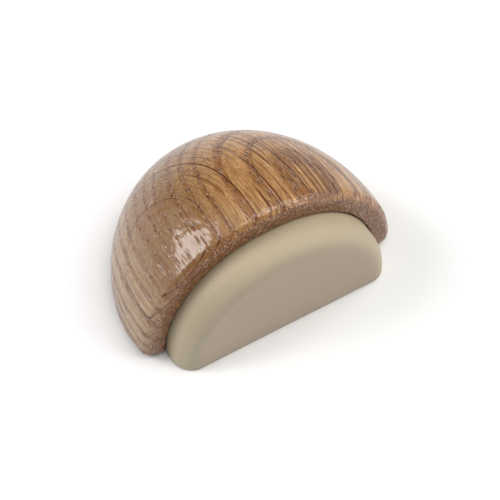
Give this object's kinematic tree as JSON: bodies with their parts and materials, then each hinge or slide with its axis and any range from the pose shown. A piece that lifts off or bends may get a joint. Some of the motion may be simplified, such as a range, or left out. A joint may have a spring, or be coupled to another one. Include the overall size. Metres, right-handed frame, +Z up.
{
  "type": "floor door stop",
  "caption": "Half-moon wooden floor door stop: a quarter-dome of varnished oak with a pale rubber buffer on its flat front and concealed fixings in its base.",
  "frame": {"origin": "on the floor, at the middle of the stop's footprint box", "axes": "+X to the right seen from the door, -Y towards the door out of the rubber buffer, +Z up"},
  "size_m": [0.06, 0.047, 0.0295],
  "materials": {
    "oak": "clear satin varnish over open-pored oak",
    "buffer_rubber": "smooth moulded cream rubber, matt",
    "insert_brass": "plain machined brass",
    "gasket_rubber": "solid black rubber sheet, matt",
    "screw_steel": "zinc plated steel"
  },
  "bodies": {
    "root": {"oak_body": "oak", "rubber_buffer": "buffer_rubber", "threaded_insert": "insert_brass", "base_gasket": "gasket_rubber", "buffer_screw_left": "screw_steel", "buffer_screw_right": "screw_steel"}
  },
  "joints": []
}
